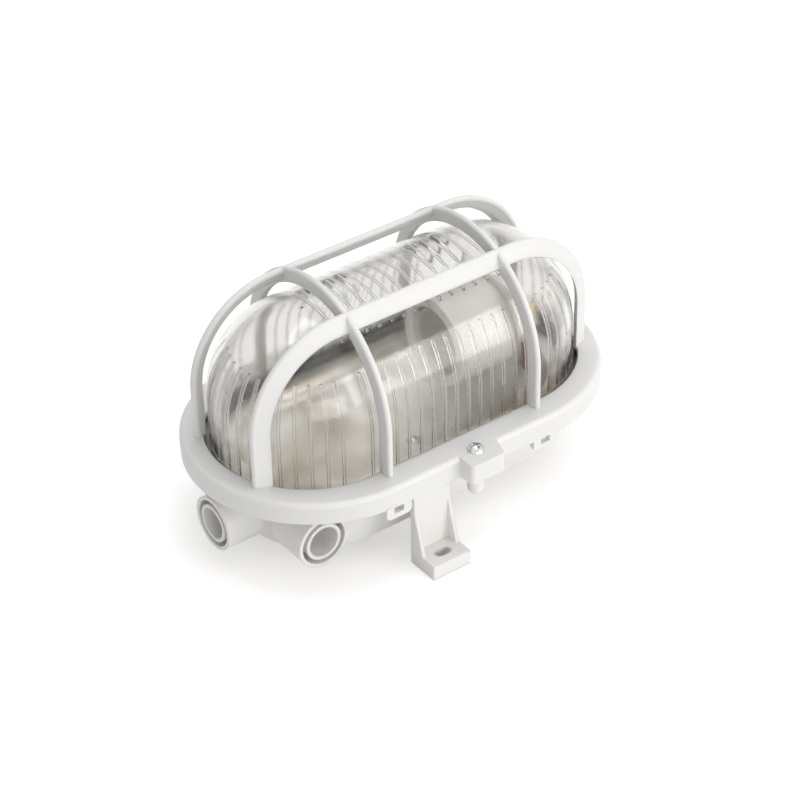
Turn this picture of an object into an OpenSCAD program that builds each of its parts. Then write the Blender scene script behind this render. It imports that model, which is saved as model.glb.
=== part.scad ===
// Oval bulkhead light: moulded base with two feet and two conduit entries, ribbed glass bowl,
// white guard cage, reflector and a screw lampholder. Millimetres, +Z away from the wall,
// origin on the wall plane under the middle of the rim, cable entries at the -X end.

/* [Guard rim] */
// Overall length of the rim
rim_length = 190.5; // [185:0.5:200]
// Overall width of the rim
rim_width = 112; // [110:0.5:118]
// Height of the rim's top face above the wall
rim_top = 46; // [45:0.5:52]
// Height of the skirt around the rim
skirt_height = 9.4; // [9:0.1:12]
// Wall of the guard moulding
guard_wall = 2.4; // [2:0.1:2.8]
// Rounding of the rim's outer edge
rim_round = 2; // [1:0.1:2.4]
// Width of the rim's flat face along the sides
rim_side_face = 12; // [11:0.1:13]
// Width of the rim's flat face at the ends
rim_end_face = 9.25; // [8:0.05:11]

/* [Guard cage] */
// How far the legs of the cross ribs stand in from the rim's sides
cross_leg_inset = 6.8; // [5:0.1:8]
// How far the legs of the long ribs stand in from the rim's ends
long_leg_inset = 10.65; // [8.6:0.05:12]
// Gap between the top of the bowl and the cross ribs
cage_gap = 3.7; // [2.5:0.1:10]
// Distance between the two cross ribs
cross_rib_spacing = 74.8; // [60:0.2:90]
// Thickness of a cross rib
cross_rib_thick = 2.6; // [2:0.1:3.6]
// Depth of a cross rib, from its outer to its inner edge
cross_rib_depth = 6.2; // [4.5:0.1:6.6]
// Distance between the two long ribs
long_rib_spacing = 42.4; // [36:0.1:50]
// Thickness of a long rib
long_rib_thick = 3; // [2:0.1:4]
// Depth of a long rib on its outward side
long_rib_depth = 7.1; // [6:0.1:8]
// How far the inner edge of a long rib leans out past its outer edge
long_rib_lean = 2.3; // [0:0.1:3]
// How much the inner edge of a long rib is bevelled along the bowl
long_rib_bevel = 1.4; // [0.5:0.1:3]
// Radius of the bend at each end of a long rib
long_rib_bend = 41; // [36:0.5:43]

/* [Cover fixing] */
// How far a cover screw stands in from the rim's side
cover_screw_inset = 1; // [0:0.1:1.5]
// Half the width of a screw tab
tab_half = 8.4; // [7.5:0.1:11]
// How far the flared side of a screw tab spreads at the rim
tab_flare = 2.6; // [0.2:0.1:5]
// How far a screw tab stands out from the skirt
tab_depth = 7.8; // [7:0.1:10]
// Rounding of a screw tab's front corners
tab_round = 2; // [1:0.1:2.4]
// How far the clip on the cable entry side stands in from the end of the rim's straight side
near_clip_inset = 0.25; // [-3:0.25:4]
// How far the clip on the other side stands in from the end of the rim's straight side
far_clip_inset = 3.75; // [-3:0.25:8]
// Width of a clip
clip_width = 12.2; // [8:0.1:13]
// How far a clip hangs below the skirt
clip_drop = 5.3; // [5:0.1:8]
// Rounding of a clip's lower corners
clip_round = 2.2; // [0.5:0.1:2.4]
// Width of the window in a clip
clip_window_w = 4.6; // [3:0.1:6]
// Height of the window in a clip
clip_window_h = 2.8; // [2:0.1:3.4]
// Diameter of a screw boss on the base
boss_d = 7; // [6:0.1:7.6]
// How far a screw boss hangs below the skirt
boss_drop = 12.2; // [6:0.1:13]

/* [Glass bowl] */
// Gap between the bowl and the rim along the sides
glass_side_gap = 3.2; // [2:0.1:4.5]
// Gap between the bowl and the rim at the ends
glass_end_gap = 2.4; // [1.6:0.1:5]
// Height of the bowl above the rim
glass_height = 58.2; // [56:0.2:62]
// Wall of the bowl
glass_wall = 3; // [2:0.1:4]
// Width of the flange around the bowl
glass_flange = 8.8; // [7:0.1:8.8]
// Thickness of the flange around the bowl
glass_flange_thick = 3; // [2.4:0.1:3.4]
// Distance between the prism ribs inside the bowl
prism_pitch = 6; // [5:0.1:7.5]
// Width of a prism rib
prism_width = 1; // [0.7:0.05:1.6]
// How far a prism rib stands in from the wall
prism_height = 0.75; // [0.4:0.05:1]
// Angle up the bowl's curve where the side ribs end
side_prism_angle = 37; // [25:1:45]
// Half the width of the ribbed strip along the bowl's top
top_prism_half = 20; // [12:0.5:22]
// Angle of the fan of ribs at each end of the bowl
fan_angle = 152; // [100:1:160]
// Thickness of the gasket under the flange
gasket_thick = 1.4; // [1:0.1:2]
// Width of the gasket
gasket_width = 9; // [7:0.1:9.2]

/* [Base] */
// Height of the base's floor above the wall
base_stand_off = 8.6; // [7:0.1:9.4]
// How far the base's floor stands in from the rim's side
base_inset = 19.7; // [18:0.1:21]
// How much wider each side of the base gets up to its flange
base_draft = 2.1; // [0.5:0.1:4]
// Wall of the base moulding
base_wall = 2.4; // [2:0.1:2.8]
// Rounding of the base's floor edge
base_round = 1; // [0.6:0.1:3]

/* [Feet] */
// Distance of each foot from the middle, along the length
foot_x = 20.5; // [19:0.5:30]
// Width of a foot
foot_width = 18.4; // [16:0.2:20]
// Depth of a foot's pad, from the back of its plate
foot_depth = 15.3; // [13:0.1:20]
// Thickness of a foot's pad
foot_pad = 6.6; // [4:0.1:9]
// Thickness of a foot's upright plate
foot_plate = 2.6; // [2:0.1:3.6]
// Thickness of the gussets on a foot
gusset_thick = 1.6; // [1:0.1:2.6]
// Length of a gusset along the pad
gusset_run = 5.3; // [3:0.1:8]
// Height of a gusset above the pad
gusset_rise = 19; // [10:0.5:26]
// Length of the fixing slot in a foot
slot_length = 7.6; // [6:0.1:10]
// Width of the fixing slot in a foot
slot_width = 4.5; // [4.2:0.1:5.4]

/* [Cable entries] */
// Height of the cable entries above the wall
entry_z = 18.3; // [17:0.1:19.6]
// Outer diameter of a cable entry
entry_d = 23.6; // [22.6:0.1:24.6]
// Diameter of the conduit socket in a cable entry
conduit_d = 20.4; // [19:0.1:21]
// Outer diameter of the cable sleeve in a cable entry
sleeve_d = 16.6; // [15.6:0.1:17.4]
// Diameter of the cable hole
cable_hole_d = 13.6; // [12:0.1:14.2]
// Depth of the conduit socket
conduit_depth = 12; // [8:0.5:15]
// Depth of the cable hole down to its knock-out wall
cable_hole_depth = 19; // [16:0.5:20]
// How far the mouth of the end entry stands in from the rim's end
end_entry_inset = 3.65; // [0.5:0.05:6]
// Distance of the side entry from the rim's end, along the length
side_entry_place = 32.25; // [30:0.25:35]
// How far the mouth of the side entry stands in from the rim's side
side_entry_inset = 18.7; // [15:0.1:20]

/* [Reflector] */
// Thickness of the reflector sheet
sheet = 0.6; // [0.4:0.05:0.9]
// Depth of the reflector's dish
dish_depth = 5.4; // [4:0.1:6.4]
// Gap between the dish and the mouth of the base
dish_gap = 2; // [1:0.1:4]
// Gap between the reflector's edge and the gasket
reflector_gap = 0.7; // [0.4:0.1:2]
// Place of the reflector screws along the length
reflector_screw_x = 7; // [0:0.5:20]
// How far the reflector screws stand in from the edge of the dish's floor
reflector_screw_inset = 7; // [5:0.5:11]

/* [Lampholder] */
// Height of the lamp's axis above the rim
lamp_rise = 14; // [11:0.5:18]
// Distance of the lampholder's mouth from the end of the reflector
holder_set_back = 59.75; // [56:0.25:68]
// Diameter of the lampholder's front skirt
holder_d = 40; // [38:0.5:44]
// Length of the lampholder's front skirt
holder_skirt = 28; // [26:0.5:30]
// Diameter of the lampholder's back
holder_back_d = 31; // [29:0.5:32]
// Length of the lampholder's back
holder_back = 12; // [10:0.5:14]
// Inner diameter of the screw shell
shell_d = 26.8; // [26.4:0.1:27.2]
// Thickness of the bracket
bracket_sheet = 1.2; // [0.8:0.1:1.6]
// Width of the bracket
bracket_width = 42; // [40:0.5:44]

/* [Connector] */
// Length of the connector block
block_l = 20; // [18:0.5:26]
// Width of the connector block
block_w = 18; // [16:0.5:20]
// Height of the pad that the connector block stands on
block_pad = 5; // [4:0.1:6]
// Height of the connector block
block_h = 12; // [11:0.5:13]
// Distance between the two poles
pole_pitch = 9; // [8.4:0.1:10]
// Diameter of an insulated wire
wire_d = 2.6; // [2:0.1:2.8]

/* [Hidden] */
$fn = 72;

// Clearance between pieces that seat in one another
fit_gap = 0.4;
// Clearance of a screw in its hole, on the radius
screw_gap = 0.1;
// Overlap that joins two shapes of one moulding
weld = 0.6;

// Rim and cage
rim_r = rim_width / 2;
rim_span = rim_length - rim_width;
skirt_bottom = rim_top - skirt_height;
rim_under = rim_top - guard_wall;
skirt_in = rim_r - guard_wall;
opening_r = rim_r - rim_side_face;
opening_end = rim_length / 2 - rim_end_face;
opening_span = 2 * (opening_end - opening_r);
cage_height = glass_height + cage_gap + cross_rib_depth;
arch_r = rim_r - cross_leg_inset;
arch_z = rim_top + cage_height - arch_r;
cross_rib_x = cross_rib_spacing / 2;
long_rib_y = long_rib_spacing / 2;
long_rib_top = arch_z + sqrt(arch_r * arch_r - long_rib_y * long_rib_y);
bend_x = rim_length / 2 - long_leg_inset - long_rib_bend;
bend_z = long_rib_top - long_rib_bend;
rib_root = rim_top - guard_wall / 2;
cover_screw_y = rim_r - cover_screw_inset;
near_clip_x = rim_span / 2 - near_clip_inset;
far_clip_x = rim_span / 2 - far_clip_inset;

// Glass and gasket
glass_r = opening_r - glass_side_gap;
glass_span = 2 * (opening_end - glass_end_gap - glass_r);
glass_z = rim_top + glass_height - glass_r;
flange_r = glass_r + glass_flange;
flange_bottom = rim_under - glass_flange_thick;
gasket_squeeze = 0.2;
bowl_in = glass_r - glass_wall;
prism_in = bowl_in - prism_height;
prism_embed = glass_wall / 3;
side_prism_top = glass_z + bowl_in * sin(side_prism_angle);
barrel_prisms = floor(glass_span / prism_pitch + 0.5);
fan_prisms = round(fan_angle / 360 * 2 * PI * bowl_in / prism_pitch);

// Base
base_r = rim_r - base_inset;
flange_top = flange_bottom - gasket_thick - gasket_squeeze;
base_flange_r = skirt_in - fit_gap;
base_flange_under = flange_top - base_wall;
floor_top = base_stand_off + base_wall;
mouth_r = base_r + base_draft - base_wall;
gasket_lip = 0.6;
gasket_r = flange_r + gasket_lip;
post_d = 7;
boss_bottom = skirt_bottom - boss_drop;
boss_top = rim_under - fit_gap / 2;

// Feet and cable entries
plate_out = base_flange_r;
plate_in = plate_out - foot_plate;
pad_out = plate_in + foot_depth;
slot_y = (plate_out + pad_out) / 2;
end_entry_reach = rim_length / 2 - end_entry_inset;
side_entry_x = rim_length / 2 - side_entry_place;
side_entry_reach = rim_r - side_entry_inset;
foot_web = 2.2;

// Reflector and lampholder
dish_top = flange_top + sheet;
dish_floor_top = dish_top - dish_depth;
dish_round = dish_depth;
dish_floor = mouth_r - dish_gap - sheet - dish_round;
reflector_half = gasket_r - gasket_width - reflector_gap;
reflector_screw_y = dish_floor - reflector_screw_inset;
lamp_z = rim_top + lamp_rise;
holder_x = rim_span / 2 + reflector_half - holder_set_back;
holder_step_x = holder_x + holder_skirt;
holder_end_x = holder_step_x + holder_back;
cavity_d = shell_d + 4;
shell_seat = 20;
shell_seat_x = holder_x + shell_seat;
recess_d = 14;
recess_depth = 6;
recess_floor_x = shell_seat_x + recess_depth;
shell_sheet = 0.5;
shell_length = 17;
bracket_hole_d = holder_back_d + 1;
bracket_foot = 12;
bracket_top_z = lamp_z + holder_d / 2 + 2;
bracket_screw_x = holder_step_x + bracket_foot * 0.55;
bracket_screw_y = 10;
holder_screw_y = (holder_back_d + holder_d) / 4 + 0.4;

// Terminals
terminal_l = 7;
terminal_w = 7.6;
terminal_h = 9;
terminal_y = 7.6;
stud_d = 2.4;
live_stud_y = -5.2;
neutral_stud_y = 9.4;
terminal_hole_x = holder_end_x + terminal_l / 2 - 0.6;

// Connector
pole_y = pole_pitch / 2;
block_bottom = floor_top + block_pad;
pole_z = block_bottom + 5;
tube_d = 4.2;
tube_bore_d = 3.2;
tube_l = block_l - 3;
clamp_x = tube_l / 2 - 3.6;
wire_bend = 4;
wire_gather = 3;

// Screws: shank diameter, shank length, head diameter, head height
cover_screw = [3.5, 15, 7.4, 2.6];
sheet_screw = [3, 9, 6, 2];
holder_screw = [2, 5, 3.4, 1.2];
clamp_screw = [2.4, 3.4, 3.6, 1.2];

white = [0.95, 0.95, 0.94];
ivory = [0.94, 0.93, 0.89];
steel = [0.72, 0.73, 0.74];
brass = [0.80, 0.66, 0.36];

// A profile of radius and height, carried round a track with straight sides and half-round ends
module around(span) {
    for (turn = [0, 180])
        rotate([0, 0, turn]) {
            translate([span / 2, 0, 0])
                rotate([0, 0, -90])
                    rotate_extrude(angle = 180)
                        children();
            rotate([90, 0, 90])
                linear_extrude(span, center = true)
                    children();
        }
}

// A plate or block with straight sides and half-round ends
module track(span, r, low, high) {
    around(span)
        translate([0, low])
            square([r, high - low]);
}

// A shape at both ends of the long axis's half turn, as the feet, tabs and bosses are
module both_sides() {
    for (turn = [0, 180])
        rotate([0, 0, turn])
            children();
}

// A domed screw with a cross recess, standing on its seat with the shank pointing down
module pan_screw(size) {
    shank_d = size[0];
    head_d = size[2];
    head_h = size[3];
    dome_r = (head_d * head_d / 4 + head_h * head_h) / (2 * head_h);
    recess_w = head_d * 0.15;
    recess_l = head_d * 0.6;
    difference() {
        union() {
            translate([0, 0, -size[1]])
                cylinder(d = shank_d, h = size[1] + head_h / 3);
            intersection() {
                translate([0, 0, head_h - dome_r])
                    sphere(dome_r);
                cylinder(d = head_d - 0.1, h = head_h);
            }
        }
        for (turn = [0, 90])
            rotate([0, 0, turn])
                translate([-recess_l / 2, -recess_w / 2, head_h * 0.45])
                    cube([recess_l, recess_w, head_h]);
    }
}

// Guard
module rim_profile() {
    square_in = opening_r - 6;
    translate([square_in, rim_under])
        square([rim_r - rim_round - square_in, guard_wall]);
    translate([skirt_in, skirt_bottom])
        square([guard_wall, skirt_height - rim_round]);
    translate([rim_r - rim_round, rim_top - rim_round])
        intersection() {
            circle(rim_round);
            square(rim_round);
        }
}

module tab_outline(inset, back) {
    half = tab_half - inset;
    front = rim_r + tab_depth - inset;
    flare = half + tab_flare * (front - back) / (tab_depth + guard_wall);
    polygon([[-half, -back], [-half, tab_round - front], [tab_round - half, -front],
        [half - tab_round, -front], [half, tab_round - front], [flare, -back]]);
    for (x = [tab_round - half, half - tab_round])
        translate([x, tab_round - front])
            circle(tab_round);
}

module screw_tab() {
    translate([0, 0, skirt_bottom])
        linear_extrude(skirt_height)
            tab_outline(0, rim_r - guard_wall / 2);
}

module screw_tab_cavity() {
    translate([0, 0, skirt_bottom - weld])
        linear_extrude(skirt_height - guard_wall + weld)
            tab_outline(guard_wall, skirt_in - weld);
}

module clip(x) {
    half = clip_width / 2;
    translate([x, -skirt_in, skirt_bottom - clip_drop])
        rotate([90, 0, 0])
            linear_extrude(guard_wall) {
                translate([-half, clip_round])
                    square([clip_width, clip_drop + weld - clip_round]);
                translate([clip_round - half, 0])
                    square([clip_width - 2 * clip_round, clip_drop]);
                for (corner = [clip_round - half, half - clip_round])
                    translate([corner, clip_round])
                        circle(clip_round);
            }
}

module clip_window(x) {
    translate([x - clip_window_w / 2, -rim_r - weld, skirt_bottom - clip_window_h])
        cube([clip_window_w, guard_wall + 2 * weld, clip_window_h]);
}

// Section of a cross rib: depth outwards, thickness across, outer edge rounded
module cross_rib_section(outer) {
    translate([outer - cross_rib_depth, -cross_rib_thick / 2])
        square([cross_rib_depth - cross_rib_thick / 2, cross_rib_thick]);
    translate([outer - cross_rib_thick / 2, 0])
        circle(cross_rib_thick / 2);
}

module cross_rib(x) {
    translate([x, 0, 0]) {
        translate([0, 0, arch_z])
            rotate([90, 0, 90])
                rotate_extrude(angle = 180)
                    cross_rib_section(arch_r);
        for (turn = [90, 270])
            translate([0, 0, rib_root])
                rotate([0, 0, turn])
                    linear_extrude(arch_z - rib_root)
                        cross_rib_section(arch_r);
    }
}

// Section of a long rib: the blade leans, and its inner edge is bevelled to follow the bowl
module long_rib_section(outer) {
    half = long_rib_thick / 2;
    inner = outer - long_rib_depth;
    slope = long_rib_lean / (long_rib_depth - half);
    inner_lean = slope * (long_rib_depth - half - long_rib_bevel);
    polygon([[inner, half + long_rib_lean], [outer - half, half], [outer - half, -half],
        [inner + long_rib_bevel, inner_lean - half]]);
    translate([outer - half, 0])
        circle(half);
}

module long_rib_half() {
    translate([bend_x, 0, bend_z]) {
        rotate([90, 0, 0])
            rotate_extrude(angle = 90)
                long_rib_section(long_rib_bend);
        rotate([180, 0, 0])
            linear_extrude(bend_z - rib_root)
                long_rib_section(long_rib_bend);
    }
}

module long_rib() {
    translate([0, -long_rib_y, 0]) {
        long_rib_half();
        mirror([1, 0, 0])
            long_rib_half();
        translate([0, 0, bend_z])
            rotate([0, -90, 0])
                rotate([180, 0, 0])
                    linear_extrude(2 * bend_x, center = true)
                        long_rib_section(long_rib_bend);
    }
}

module guard() {
    color(white)
        difference() {
            union() {
                difference() {
                    union() {
                        around(rim_span)
                            rim_profile();
                        both_sides()
                            screw_tab();
                    }
                    both_sides()
                        screw_tab_cavity();
                    track(opening_span, opening_r, rim_under - weld, rim_top + weld);
                }
                both_sides() {
                    clip(-near_clip_x);
                    clip(far_clip_x);
                }
                for (side = [-1, 1])
                    cross_rib(side * cross_rib_x);
                long_rib();
                mirror([0, 1, 0])
                    long_rib();
            }
            both_sides() {
                clip_window(-near_clip_x);
                clip_window(far_clip_x);
                translate([0, -cover_screw_y, rim_under - weld])
                    cylinder(d = cover_screw[0] + 2 * screw_gap, h = guard_wall + 2 * weld);
            }
        }
}

// Glass bowl: cross-section of the barrel, as width and height
module bowl_section(r, low) {
    translate([-r, low])
        square([2 * r, glass_z - low]);
    intersection() {
        translate([0, glass_z])
            circle(r);
        translate([-r, glass_z - weld])
            square([2 * r, r + 2 * weld]);
    }
}

module bowl_wall() {
    difference() {
        union() {
            bowl_section(glass_r, flange_bottom);
            translate([-flange_r, flange_bottom])
                square([2 * flange_r, glass_flange_thick]);
        }
        bowl_section(bowl_in, flange_bottom - weld);
    }
}

// The part of a cross-section on one side of the middle
module half_section() {
    intersection() {
        children();
        square([2 * rim_r, 2 * rim_r + 2 * rim_top]);
    }
}

// The strips of the wall's inside that carry a rib
module prism_section() {
    intersection() {
        difference() {
            bowl_section(bowl_in + prism_embed, flange_bottom + 1);
            bowl_section(prism_in, flange_bottom);
        }
        union() {
            translate([-glass_r, flange_bottom])
                square([2 * glass_r, side_prism_top - flange_bottom]);
            translate([-top_prism_half, side_prism_top])
                square([2 * top_prism_half, glass_r]);
        }
    }
}

module fan_prism() {
    intersection() {
        half_section()
            prism_section();
        translate([0, flange_bottom])
            square([glass_r, side_prism_top - flange_bottom]);
    }
}

module prisms() {
    for (i = [0:barrel_prisms - 1])
        translate([(i - (barrel_prisms - 1) / 2) * prism_pitch, 0, 0])
            rotate([90, 0, 90])
                linear_extrude(prism_width, center = true)
                    prism_section();
    both_sides()
        translate([glass_span / 2, 0, 0])
            for (i = [0:fan_prisms - 1])
                rotate([0, 0, fan_angle * (i / (fan_prisms - 1) - 0.5)])
                    rotate([90, 0, 0])
                        linear_extrude(prism_width, center = true)
                            fan_prism();
}

module glass_bowl() {
    color([0.86, 0.90, 0.88, 0.35]) {
        rotate([90, 0, 90])
            linear_extrude(glass_span, center = true)
                bowl_wall();
        both_sides()
            translate([glass_span / 2, 0, 0])
                rotate([0, 0, -90])
                    rotate_extrude(angle = 180)
                        half_section()
                            bowl_wall();
        prisms();
    }
}

module gasket() {
    color([0.12, 0.12, 0.12])
        around(rim_span)
            translate([gasket_r - gasket_width, flange_top])
                square([gasket_width, gasket_thick]);
}

// Base
module base_profile() {
    polygon([[0, base_stand_off], [base_r - base_round, base_stand_off],
        [base_r, base_stand_off + base_round], [base_r + base_draft, base_flange_under],
        [base_flange_r, base_flange_under], [base_flange_r, flange_top], [mouth_r, flange_top],
        [base_r - base_wall, floor_top], [0, floor_top]]);
    translate([base_r - base_round, base_stand_off + base_round])
        circle(base_round);
}

module entry(length) {
    rotate([0, 90, 0])
        cylinder(d = entry_d, h = length);
}

module entry_hollow() {
    rotate([0, 90, 0]) {
        difference() {
            translate([0, 0, -weld])
                cylinder(d = conduit_d, h = conduit_depth + weld);
            translate([0, 0, -2 * weld])
                cylinder(d = sleeve_d, h = conduit_depth + 3 * weld);
        }
        translate([0, 0, -weld])
            cylinder(d = cable_hole_d, h = cable_hole_depth + weld);
    }
}

module at_end_entry() {
    translate([-end_entry_reach, 0, entry_z])
        children();
}

module at_side_entry() {
    translate([-side_entry_x, -side_entry_reach, entry_z])
        rotate([0, 0, 90])
            children();
}

module foot() {
    left = -foot_x - foot_width / 2;
    right = left + foot_width;
    translate([left, -plate_out, 0])
        cube([foot_width, foot_plate, flange_top - weld]);
    translate([left, -pad_out, 0])
        cube([foot_width, foot_depth, foot_pad]);
    for (x = [left, right - gusset_thick])
        translate([x, -plate_out, foot_pad])
            rotate([90, 0, 90])
                linear_extrude(gusset_thick)
                    polygon([[weld, -weld], [-gusset_run, -weld], [-gusset_run, 0],
                        [0, gusset_rise], [weld, gusset_rise]]);
    web_depth = plate_in - base_r + base_wall / 2 + weld;
    web_bottom = floor_top + base_round;
    translate([-foot_x - foot_web / 2, -plate_in - weld, web_bottom])
        cube([foot_web, web_depth, base_flange_under - web_bottom + weld]);
}

module foot_slot() {
    straight = slot_length - slot_width;
    translate([-foot_x, -slot_y, -weld])
        linear_extrude(foot_pad + 2 * weld) {
            square([straight, slot_width], center = true);
            for (side = [-1, 1])
                translate([side * straight / 2, 0])
                    circle(d = slot_width);
        }
}

module screw_lug() {
    half = tab_half - guard_wall - fit_gap;
    reach = cover_screw_y + boss_d / 2;
    translate([-half, -reach, base_flange_under])
        cube([2 * half, reach - base_flange_r + 2 * weld, base_wall]);
    translate([0, -cover_screw_y, boss_bottom + boss_d / 2])
        cylinder(d = boss_d, h = boss_top - boss_bottom - boss_d / 2);
    translate([0, -cover_screw_y, boss_bottom + boss_d / 2])
        sphere(d = boss_d);
}

module clip_barb(x) {
    depth = base_flange_r - base_r - base_draft;
    width = clip_window_w - 2 * fit_gap;
    translate([x - width / 2, -base_flange_r, base_flange_under - 2])
        cube([width, depth / 3, 2 + weld]);
}

module posts() {
    for (side = [-1, 1]) {
        translate([side * reflector_screw_x, side * reflector_screw_y, floor_top - weld])
            cylinder(d = post_d, h = dish_floor_top - sheet - floor_top + weld);
        translate([bracket_screw_x, side * bracket_screw_y, floor_top - weld])
            cylinder(d = post_d, h = dish_floor_top - sheet - floor_top + weld);
    }
    translate([0, 0, floor_top - weld])
        cylinder(d = post_d, h = block_pad + weld);
}

module screw_pilots() {
    pilot = sheet_screw[0] + 2 * screw_gap;
    depth = sheet_screw[1] + 1;
    for (side = [-1, 1]) {
        translate([side * reflector_screw_x, side * reflector_screw_y, dish_floor_top - depth])
            cylinder(d = pilot, h = depth);
        translate([bracket_screw_x, side * bracket_screw_y, dish_floor_top - depth])
            cylinder(d = pilot, h = depth);
    }
    both_sides()
        translate([0, -cover_screw_y, rim_top - cover_screw[1] - 1])
            cylinder(d = cover_screw[0] + 2 * screw_gap, h = cover_screw[1]);
    translate([0, 0, floor_top])
        cylinder(d = pilot, h = block_pad + weld);
}

module base_housing() {
    entry_length = cable_hole_depth + 1;
    color(ivory)
        difference() {
            union() {
                around(rim_span)
                    base_profile();
                at_end_entry()
                    entry(entry_length);
                at_side_entry()
                    entry(entry_length);
                both_sides() {
                    foot();
                    screw_lug();
                    clip_barb(-near_clip_x);
                    clip_barb(far_clip_x);
                }
                posts();
            }
            at_end_entry()
                entry_hollow();
            at_side_entry()
                entry_hollow();
            both_sides()
                foot_slot();
            screw_pilots();
        }
}

// Reflector
module reflector_profile() {
    translate([0, dish_floor_top - sheet])
        square([dish_floor, sheet]);
    intersection() {
        translate([dish_floor, dish_top])
            difference() {
                circle(dish_round + sheet);
                circle(dish_round);
            }
        translate([dish_floor, dish_floor_top - sheet])
            square([dish_round + sheet, dish_depth + sheet]);
    }
    translate([dish_floor + dish_round, dish_top - sheet])
        square([reflector_half - dish_floor - dish_round, sheet]);
}

module reflector() {
    color([0.82, 0.83, 0.84])
        difference() {
            around(rim_span)
                reflector_profile();
            for (side = [-1, 1]) {
                translate([side * reflector_screw_x, side * reflector_screw_y, 0])
                    cylinder(d = sheet_screw[0] + 2 * screw_gap, h = rim_top);
                translate([bracket_screw_x, side * bracket_screw_y, 0])
                    cylinder(d = sheet_screw[0] + 2 * screw_gap, h = rim_top);
                translate([terminal_hole_x, side * terminal_y, 0])
                    cylinder(d = 2 * wire_d, h = rim_top);
            }
        }
}

module reflector_screws() {
    color(steel)
        for (side = [-1, 1])
            translate([side * reflector_screw_x, side * reflector_screw_y, dish_floor_top])
                pan_screw(sheet_screw);
}

// Lampholder
module lampholder_bracket() {
    color(steel)
        difference() {
            union() {
                translate([holder_step_x, -bracket_width / 2, dish_floor_top])
                    cube([bracket_sheet, bracket_width, bracket_top_z - dish_floor_top]);
                translate([holder_step_x, -bracket_width / 2, dish_floor_top])
                    cube([bracket_foot, bracket_width, bracket_sheet]);
            }
            translate([holder_step_x - weld, 0, lamp_z])
                rotate([0, 90, 0])
                    cylinder(d = bracket_hole_d, h = bracket_sheet + 2 * weld);
            for (side = [-1, 1]) {
                translate([holder_step_x - weld, side * holder_screw_y, lamp_z])
                    rotate([0, 90, 0])
                        cylinder(d = holder_screw[0] + 2 * screw_gap, h = bracket_sheet + 2 * weld);
                translate([bracket_screw_x, side * bracket_screw_y, dish_floor_top - weld])
                    cylinder(d = sheet_screw[0] + 2 * screw_gap, h = bracket_sheet + 2 * weld);
            }
        }
}

module bracket_screws() {
    color(steel)
        for (side = [-1, 1])
            translate([bracket_screw_x, side * bracket_screw_y, dish_floor_top + bracket_sheet])
                pan_screw(sheet_screw);
}

module lampholder_body() {
    color([0.93, 0.91, 0.86])
        difference() {
            translate([holder_x, 0, lamp_z])
                rotate([0, 90, 0]) {
                    cylinder(d = holder_d, h = holder_skirt);
                    cylinder(d = holder_back_d, h = holder_skirt + holder_back);
                }
            translate([holder_x - weld, 0, lamp_z])
                rotate([0, 90, 0]) {
                    cylinder(d = cavity_d, h = shell_seat_x - holder_x + weld);
                    cylinder(d = recess_d, h = recess_floor_x - holder_x + weld);
                }
            for (y = [live_stud_y, neutral_stud_y])
                translate([shell_seat_x - weld, y, lamp_z])
                    rotate([0, 90, 0])
                        cylinder(d = stud_d + 2 * screw_gap, h = holder_end_x - shell_seat_x + 2 * weld);
            for (side = [-1, 1])
                translate([holder_step_x - holder_screw[1] - 1, side * holder_screw_y, lamp_z])
                    rotate([0, 90, 0])
                        cylinder(d = holder_screw[0] + 2 * screw_gap, h = holder_screw[1] + 2);
        }
}

module lampholder_screws() {
    color(steel)
        for (side = [-1, 1])
            translate([holder_step_x + bracket_sheet, side * holder_screw_y, lamp_z])
                rotate([0, 90, 0])
                    pan_screw(holder_screw);
}

module screw_shell() {
    color(brass)
        translate([shell_seat_x - shell_length, 0, lamp_z])
            rotate([0, 90, 0])
                difference() {
                    cylinder(d = shell_d + 2 * shell_sheet, h = shell_length);
                    translate([0, 0, -weld])
                        cylinder(d = shell_d, h = shell_length + weld - shell_sheet);
                    cylinder(d = recess_d, h = shell_length + weld);
                }
}

// A bent spring tongue on the floor of the lampholder's recess
module centre_contact() {
    tongue_w = 5;
    strip = 0.8;
    lift = 4.6;
    half = recess_d / 2 - 1;
    color(brass)
        translate([recess_floor_x, 0, lamp_z - tongue_w / 2])
            linear_extrude(tongue_w)
                polygon([[0, -half], [0, half], [-strip, half], [-strip, strip - half],
                    [-lift, half / 3], [-lift - strip, half / 3], [-strip, -half]]);
}

// A terminal block on the lampholder's back, with a stud through to the contact it feeds
module terminal(side, stud_y, stud_end_x) {
    color(brass)
        difference() {
            union() {
                translate([holder_end_x, side * terminal_y - terminal_w / 2, lamp_z - terminal_h / 2])
                    cube([terminal_l, terminal_w, terminal_h]);
                translate([stud_end_x, stud_y, lamp_z])
                    rotate([0, 90, 0])
                        cylinder(d = stud_d, h = holder_end_x - stud_end_x + weld);
            }
            translate([terminal_hole_x, side * terminal_y, lamp_z - terminal_h / 2 - weld])
                cylinder(d = wire_d + 2 * screw_gap, h = terminal_h * 0.7);
            translate([terminal_hole_x, side * terminal_y, lamp_z])
                rotate([0, 90, 0])
                    cylinder(d = clamp_screw[0] + 2 * screw_gap, h = terminal_l);
        }
}

module live_terminal() {
    terminal(-1, live_stud_y, recess_floor_x);
}

module neutral_terminal() {
    terminal(1, neutral_stud_y, shell_seat_x);
}

module terminal_screws() {
    length = holder_end_x + terminal_l - terminal_hole_x - wire_d / 2 - screw_gap;
    color(steel)
        for (side = [-1, 1])
            translate([holder_end_x + terminal_l, side * terminal_y, lamp_z])
                rotate([0, 90, 0])
                    pan_screw([clamp_screw[0], length, clamp_screw[2], clamp_screw[3]]);
}

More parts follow.
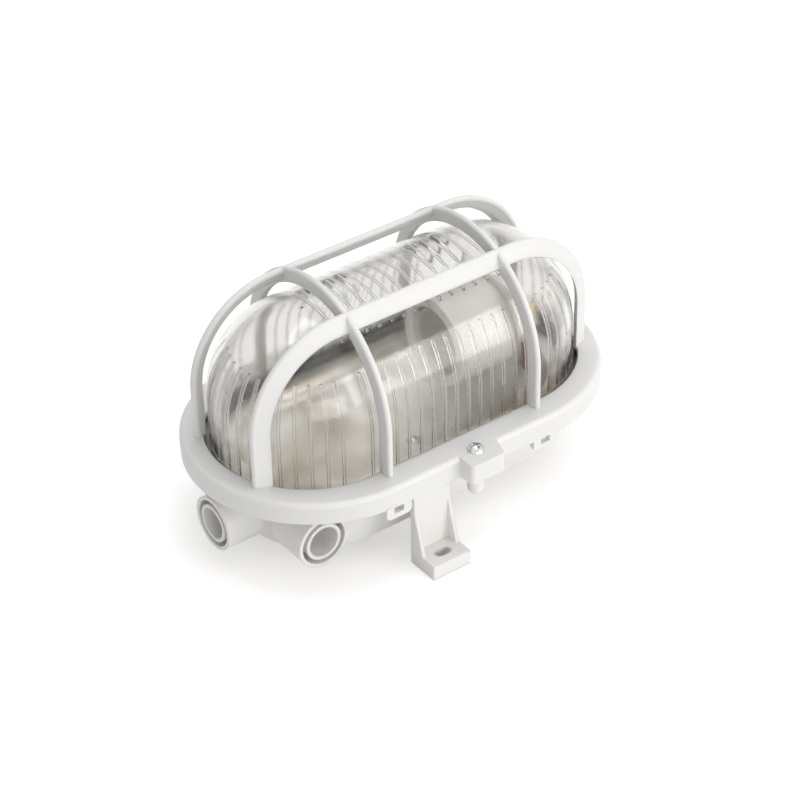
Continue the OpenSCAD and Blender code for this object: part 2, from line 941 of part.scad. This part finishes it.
// Connector
module connector_block() {
    color([0.93, 0.93, 0.91])
        difference() {
            translate([-block_l / 2, -block_w / 2, block_bottom])
                cube([block_l, block_w, block_h]);
            for (side = [-1, 1]) {
                translate([-block_l / 2 - weld, side * pole_y, pole_z])
                    rotate([0, 90, 0])
                        cylinder(d = tube_d, h = block_l + 2 * weld);
                for (x = [-clamp_x, clamp_x])
                    translate([x, side * pole_y, pole_z])
                        cylinder(d = clamp_screw[2] + 2 * screw_gap, h = block_h);
            }
            translate([0, 0, block_bottom - weld])
                cylinder(d = sheet_screw[0] + 2 * screw_gap, h = block_h + 2 * weld);
        }
}

module connector_tubes() {
    color(brass)
        for (side = [-1, 1])
            difference() {
                translate([-tube_l / 2, side * pole_y, pole_z])
                    rotate([0, 90, 0])
                        cylinder(d = tube_d, h = tube_l);
                translate([-tube_l / 2 - weld, side * pole_y, pole_z])
                    rotate([0, 90, 0])
                        cylinder(d = tube_bore_d, h = tube_l + 2 * weld);
                for (x = [-clamp_x, clamp_x])
                    translate([x, side * pole_y, pole_z])
                        cylinder(d = clamp_screw[0] + 2 * screw_gap, h = tube_d);
            }
}

module connector_screws() {
    color(steel)
        for (side = [-1, 1], x = [-clamp_x, clamp_x])
            translate([x, side * pole_y, pole_z + tube_d / 2 + 0.3])
                pan_screw([clamp_screw[0], 0.9, clamp_screw[2], clamp_screw[3]]);
}

module connector_fixing_screw() {
    color(steel)
        translate([0, 0, block_bottom + block_h])
            pan_screw([sheet_screw[0], block_h + block_pad - 1, sheet_screw[2], sheet_screw[3]]);
}

// Wires: a round tube swept along points
function unit(v) = v / norm(v);
function tangent(p, i) = unit(p[min(i + 1, len(p) - 1)] - p[max(i - 1, 0)]);
function side_of(t) = unit(cross(t, abs(t[1]) < 0.9 ? [0, 1, 0] : [1, 0, 0]));
function ring(c, t, r, n) = [for (k = [0:n - 1])
    c + r * (cos(360 * k / n) * side_of(t) + sin(360 * k / n) * cross(t, side_of(t)))];

module tube(p, d) {
    n = 8;
    m = len(p);
    points = [for (i = [0:m - 1]) each ring(p[i], tangent(p, i), d / 2, n)];
    walls = [for (i = [0:m - 2], k = [0:n - 1])
        [i * n + k, i * n + (k + 1) % n, (i + 1) * n + (k + 1) % n, (i + 1) * n + k]];
    near_end = [[for (k = [n - 1:-1:0]) k]];
    far_end = [[for (k = [0:n - 1]) (m - 1) * n + k]];
    polyhedron(points, concat(walls, near_end, far_end));
}

function wire_route(side) = [
    [terminal_hole_x, side * terminal_y, lamp_z],
    [terminal_hole_x, side * terminal_y, lamp_z - 2 * wire_bend],
    [terminal_hole_x, side * terminal_y, dish_floor_top + 1.5 * wire_bend],
    [terminal_hole_x, side * terminal_y, dish_floor_top - wire_bend],
    [terminal_hole_x - wire_bend / 4, side * (terminal_y + pole_y) / 2, dish_floor_top - 2 * wire_bend],
    [terminal_hole_x - wire_bend, side * pole_y, floor_top + 1.75 * wire_bend],
    [terminal_hole_x - 2.5 * wire_bend, side * wire_gather, floor_top + wire_bend],
    [terminal_hole_x - 5 * wire_bend, side * wire_gather, floor_top + 0.75 * wire_bend],
    [block_l / 2 + 3.5 * wire_bend, side * wire_gather, floor_top + 0.85 * wire_bend],
    [block_l / 2 + 1.5 * wire_bend, side * pole_y, pole_z - 0.15 * wire_bend],
    [block_l / 2 + wire_bend / 2, side * pole_y, pole_z],
    [clamp_x, side * pole_y, pole_z]];

module live_wire() {
    color([0.62, 0.22, 0.16])
        tube(wire_route(-1), wire_d);
}

module neutral_wire() {
    color([0.20, 0.30, 0.55])
        tube(wire_route(1), wire_d);
}

module cover_screws() {
    color(steel)
        both_sides()
            translate([0, -cover_screw_y, rim_top])
                pan_screw(cover_screw);
}

base_housing();
reflector();
reflector_screws();
lampholder_bracket();
bracket_screws();
lampholder_body();
lampholder_screws();
screw_shell();
centre_contact();
live_terminal();
neutral_terminal();
terminal_screws();
connector_block();
connector_tubes();
connector_screws();
connector_fixing_screw();
live_wire();
neutral_wire();
gasket();
glass_bowl();
guard();
cover_screws();
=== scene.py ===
import math

import bpy
from mathutils import Matrix, Vector

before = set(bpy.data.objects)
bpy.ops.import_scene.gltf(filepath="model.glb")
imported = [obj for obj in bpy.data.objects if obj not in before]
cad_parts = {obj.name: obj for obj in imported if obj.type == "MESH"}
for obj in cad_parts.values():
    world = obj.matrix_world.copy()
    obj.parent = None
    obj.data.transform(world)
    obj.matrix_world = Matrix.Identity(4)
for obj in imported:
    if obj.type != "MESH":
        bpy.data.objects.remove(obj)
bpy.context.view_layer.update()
scene = bpy.context.scene
scene.view_settings.view_transform = "Standard"

# Light crosses the two ribbed walls of the bowl many times
light_bounces = 32
scene.cycles.max_bounces = light_bounces
scene.cycles.transmission_bounces = light_bounces
scene.cycles.glossy_bounces = light_bounces

# Relief: the depth of waves and of fine grain, and the radius of edges rounded in the shading
wave_depth = 0.0008
grain_depth = 0.0004
relief_detail = 3.0
moulded_edge = 0.0006
small_edge = 0.0004
fine_edge = 0.0003
no_edge = 0.0
edge_samples = 4

# Colour patches: how the noise is drawn out, and where it is fully dull and fully bright
patch_detail = 4.0
patch_distortion = 1.2
dull_below = 0.34
bright_above = 0.58


# Materials
def principled(name, color, roughness, **sockets):
    """Makes a material. Further sockets are named with underscores in place of spaces."""
    mat = bpy.data.materials.new(name)
    mat.use_nodes = True
    shader = mat.node_tree.nodes["Principled BSDF"]
    shader.inputs["Base Color"].default_value = (*color, 1.0)
    shader.inputs["Roughness"].default_value = roughness
    for socket, value in sockets.items():
        shader.inputs[socket.replace("_", " ")].default_value = value
    return mat


def relief(mat, edge, scale, depth, strength):
    """Adds waves or a fine grain, and rounds edges in the shading where edge is a radius."""
    nodes = mat.node_tree.nodes
    links = mat.node_tree.links
    place = nodes.new("ShaderNodeTexCoord")
    noise = nodes.new("ShaderNodeTexNoise")
    noise.inputs["Scale"].default_value = scale
    noise.inputs["Detail"].default_value = relief_detail
    bump = nodes.new("ShaderNodeBump")
    bump.inputs["Strength"].default_value = strength
    bump.inputs["Distance"].default_value = depth
    links.new(place.outputs["Object"], noise.inputs["Vector"])
    links.new(noise.outputs["Fac"], bump.inputs["Height"])
    if edge:
        soft_edge = nodes.new("ShaderNodeBevel")
        soft_edge.samples = edge_samples
        soft_edge.inputs["Radius"].default_value = edge
        links.new(soft_edge.outputs["Normal"], bump.inputs["Normal"])
    links.new(bump.outputs["Normal"], nodes["Principled BSDF"].inputs["Normal"])


def mottled(mat, scale, dull, bright, offset=(0.0, 0.0, 0.0)):
    """Varies the colour in soft patches between a dull and a bright tone."""
    nodes = mat.node_tree.nodes
    links = mat.node_tree.links
    place = nodes.new("ShaderNodeTexCoord")
    shift = nodes.new("ShaderNodeMapping")
    shift.inputs["Location"].default_value = offset
    noise = nodes.new("ShaderNodeTexNoise")
    noise.inputs["Scale"].default_value = scale
    noise.inputs["Detail"].default_value = patch_detail
    noise.inputs["Distortion"].default_value = patch_distortion
    ramp = nodes.new("ShaderNodeValToRGB")
    stops = ramp.color_ramp.elements
    stops[0].position = dull_below
    stops[0].color = (*dull, 1.0)
    stops[1].position = bright_above
    stops[1].color = (*bright, 1.0)
    links.new(place.outputs["Object"], shift.inputs["Vector"])
    links.new(shift.outputs["Vector"], noise.inputs["Vector"])
    links.new(noise.outputs["Fac"], ramp.inputs["Fac"])
    links.new(ramp.outputs["Color"], nodes["Principled BSDF"].inputs["Base Color"])


# White mouldings, which let a little light in under the surface
milky = {"Subsurface_Weight": 0.3, "Subsurface_Radius": (0.004, 0.0038, 0.0035), "Subsurface_Scale": 1.0}
guard_white = principled("guard_white", color=(0.80, 0.80, 0.79), roughness=0.42, **milky)
relief(guard_white, edge=moulded_edge, scale=900.0, depth=grain_depth, strength=0.10)
base_white = principled("base_white", color=(0.82, 0.81, 0.79), roughness=0.40, **milky)
relief(base_white, edge=moulded_edge, scale=900.0, depth=grain_depth, strength=0.08)

# Pressed glass, slightly wavy; the rounded edges make its flat-topped prism ribs read as round
clear_glass = principled(
    "clear_glass", color=(0.87, 0.865, 0.85), roughness=0.09, IOR=1.50, Transmission_Weight=1.0
)
relief(clear_glass, edge=moulded_edge, scale=70.0, depth=wave_depth, strength=0.10)

# Gasket
rubber = principled("rubber", color=(0.08, 0.075, 0.07), roughness=0.7)
relief(rubber, edge=fine_edge, scale=800.0, depth=grain_depth, strength=0.15)
mottled(rubber, scale=150.0, dull=(0.07, 0.066, 0.062), bright=(0.09, 0.085, 0.08))

# Reflector: rolled sheet with waves, and dull brownish patches painted on as the reflection of the dark,
# shaded inside of the lamp
bright_sheet = principled("bright_sheet", color=(0.93, 0.90, 0.86), roughness=0.45, Metallic=1.0)
relief(bright_sheet, edge=no_edge, scale=38.0, depth=wave_depth, strength=0.9)
# Painted reflection: the dull tone stands in for shade mirrored in the sheet, and the offset puts a dull
# patch at the left front end while the middle stays bright
mottled(
    bright_sheet, scale=16.0, dull=(0.46, 0.40, 0.31), bright=(0.97, 0.95, 0.92), offset=(0.1, 0.024, 0.0)
)

# Zinc plate: bright on the screws, pale on the screw shell and the bracket
zinc = principled("zinc", color=(0.62, 0.63, 0.64), roughness=0.22, Metallic=1.0)
relief(zinc, edge=fine_edge, scale=1200.0, depth=grain_depth, strength=0.05)
mottled(zinc, scale=260.0, dull=(0.57, 0.58, 0.59), bright=(0.66, 0.67, 0.68))
pale_zinc = principled("pale_zinc", color=(0.88, 0.87, 0.85), roughness=0.45, Metallic=1.0)
relief(pale_zinc, edge=fine_edge, scale=700.0, depth=grain_depth, strength=0.06)
mottled(pale_zinc, scale=120.0, dull=(0.83, 0.82, 0.80), bright=(0.90, 0.89, 0.87))

# Lampholder and connector
porcelain = principled("porcelain", color=(0.92, 0.91, 0.88), roughness=0.2)
relief(porcelain, edge=moulded_edge, scale=300.0, depth=grain_depth, strength=0.04)
mottled(porcelain, scale=90.0, dull=(0.90, 0.89, 0.86), bright=(0.93, 0.92, 0.89))
brass = principled("brass", color=(0.72, 0.53, 0.22), roughness=0.25, Metallic=1.0)
relief(brass, edge=fine_edge, scale=900.0, depth=grain_depth, strength=0.05)
mottled(brass, scale=220.0, dull=(0.64, 0.46, 0.18), bright=(0.76, 0.57, 0.25))
connector_white = principled("connector_white", color=(0.78, 0.78, 0.76), roughness=0.45)
relief(connector_white, edge=small_edge, scale=900.0, depth=grain_depth, strength=0.08)

# Wires
live_sleeve = principled("live_sleeve", color=(0.30, 0.05, 0.03), roughness=0.35)
relief(live_sleeve, edge=no_edge, scale=900.0, depth=grain_depth, strength=0.06)
mottled(live_sleeve, scale=180.0, dull=(0.27, 0.045, 0.027), bright=(0.33, 0.056, 0.034))
neutral_sleeve = principled("neutral_sleeve", color=(0.03, 0.08, 0.32), roughness=0.35)
relief(neutral_sleeve, edge=no_edge, scale=900.0, depth=grain_depth, strength=0.06)
mottled(neutral_sleeve, scale=180.0, dull=(0.027, 0.07, 0.29), bright=(0.034, 0.09, 0.35))

looks = {
    "guard": guard_white,
    "base_housing": base_white,
    "glass_bowl": clear_glass,
    "gasket": rubber,
    "reflector": bright_sheet,
    "screw_shell": pale_zinc,
    "lampholder_bracket": pale_zinc,
    "lampholder_body": porcelain,
    "connector_block": connector_white,
    "live_wire": live_sleeve,
    "neutral_wire": neutral_sleeve,
}
for node in ("centre_contact", "live_terminal", "neutral_terminal", "connector_tubes"):
    looks[node] = brass
# The nodes that aren't listed are all screws
for name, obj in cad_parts.items():
    obj.data.materials.clear()
    obj.data.materials.append(looks.get(name, zinc))


# Floor and world
def backdrop_strength(tree, lighting, seen):
    """Gives the strength for lighting, and the one where it is seen, mirrored or looked through to."""
    ray = tree.nodes.new("ShaderNodeLightPath")
    last = ray.outputs["Is Camera Ray"]
    for kind in ("Is Glossy Ray", "Is Transmission Ray"):
        either = tree.nodes.new("ShaderNodeMath")
        either.operation = "MAXIMUM"
        tree.links.new(last, either.inputs[0])
        tree.links.new(ray.outputs[kind], either.inputs[1])
        last = either.outputs["Value"]
    level = tree.nodes.new("ShaderNodeMath")
    level.operation = "MULTIPLY_ADD"
    level.inputs[1].default_value = seen - lighting
    level.inputs[2].default_value = lighting
    tree.links.new(last, level.inputs[0])
    return level.outputs["Value"]


floor_size = 8.0
# The floor lies just under the feet, so that no two faces coincide
floor_drop = 0.0002
floor_glow = 0.40
bpy.ops.mesh.primitive_plane_add(size=floor_size, location=(0.0, 0.0, -floor_drop))
floor = bpy.context.object
floor.name = "floor"
pale = principled("pale_floor", color=(0.90, 0.90, 0.90), roughness=0.9, Specular_IOR_Level=0.0)
floor.data.materials.append(pale)
tree = pale.node_tree
glow = tree.nodes.new("ShaderNodeEmission")
glow.inputs["Color"].default_value = (1.0, 1.0, 1.0, 1.0)
tree.links.new(backdrop_strength(tree, lighting=0.0, seen=floor_glow), glow.inputs["Strength"])
both = tree.nodes.new("ShaderNodeAddShader")
tree.links.new(tree.nodes["Principled BSDF"].outputs["BSDF"], both.inputs[0])
tree.links.new(glow.outputs["Emission"], both.inputs[1])
tree.links.new(both.outputs["Shader"], tree.nodes["Material Output"].inputs["Surface"])

ambient_light = 0.42
white_backdrop = 1.0
world = bpy.data.worlds.new("studio")
scene.world = world
world.use_nodes = True
sky = world.node_tree.nodes["Background"]
sky.inputs["Color"].default_value = (1.0, 0.99, 0.98, 1.0)
sky_strength = backdrop_strength(world.node_tree, lighting=ambient_light, seen=white_backdrop)
world.node_tree.links.new(sky_strength, sky.inputs["Strength"])

# Lamps
lamp_target = Vector((0.0, 0.0, 0.05))
warm_white = (1.0, 0.99, 0.97)
plain_white = (1.0, 1.0, 1.0)


def softbox(name, where, width, height, power, color):
    """Adds a rectangular lamp that faces the middle of the part. Power is in watts."""
    lamp = bpy.data.lights.new(name, "AREA")
    lamp.shape = "RECTANGLE"
    lamp.size = width
    lamp.size_y = height
    lamp.energy = power
    lamp.color = color
    obj = bpy.data.objects.new(name, lamp)
    scene.collection.objects.link(obj)
    obj.location = where
    aim = lamp_target - Vector(where)
    obj.rotation_euler = aim.to_track_quat("-Z", "Y").to_euler()


softbox("front_box", where=(0.8, -1.4, 0.54), width=0.8, height=1.04, power=8.8, color=warm_white)
softbox("low_box", where=(-0.35, -1.6, 0.34), width=1.2, height=0.64, power=6.5, color=warm_white)
softbox("top_box", where=(0.2, 0.1, 1.5), width=1.0, height=1.0, power=9.0, color=plain_white)

# Camera at the photograph's angle, in radians and metres, with its lens in the photograph's pixels
azimuth = -0.626166
elevation = 0.617514
roll = -0.021702
distance = 1.02785
target = Vector((0.0, 0.0, 0.046))
frame_px = 800.0
focal_px = 2477.665
centre_x_px = 393.785
centre_y_px = 386.485
sensor_mm = 36.0

back = Vector((
    math.sin(azimuth) * math.cos(elevation),
    -math.cos(azimuth) * math.cos(elevation),
    math.sin(elevation),
))
level = Vector((math.cos(azimuth), math.sin(azimuth), 0.0))
upright = back.cross(level)
right = math.cos(roll) * level + math.sin(roll) * upright
up = -math.sin(roll) * level + math.cos(roll) * upright
lens = bpy.data.cameras.new("camera")
lens.sensor_width = sensor_mm
lens.lens = focal_px / frame_px * sensor_mm
lens.shift_x = (frame_px / 2 - centre_x_px) / frame_px
lens.shift_y = (centre_y_px - frame_px / 2) / frame_px
camera = bpy.data.objects.new("camera", lens)
scene.collection.objects.link(camera)
turn = Matrix((right, up, back)).transposed().to_4x4()
camera.matrix_world = Matrix.Translation(target + back * distance) @ turn
scene.camera = camera
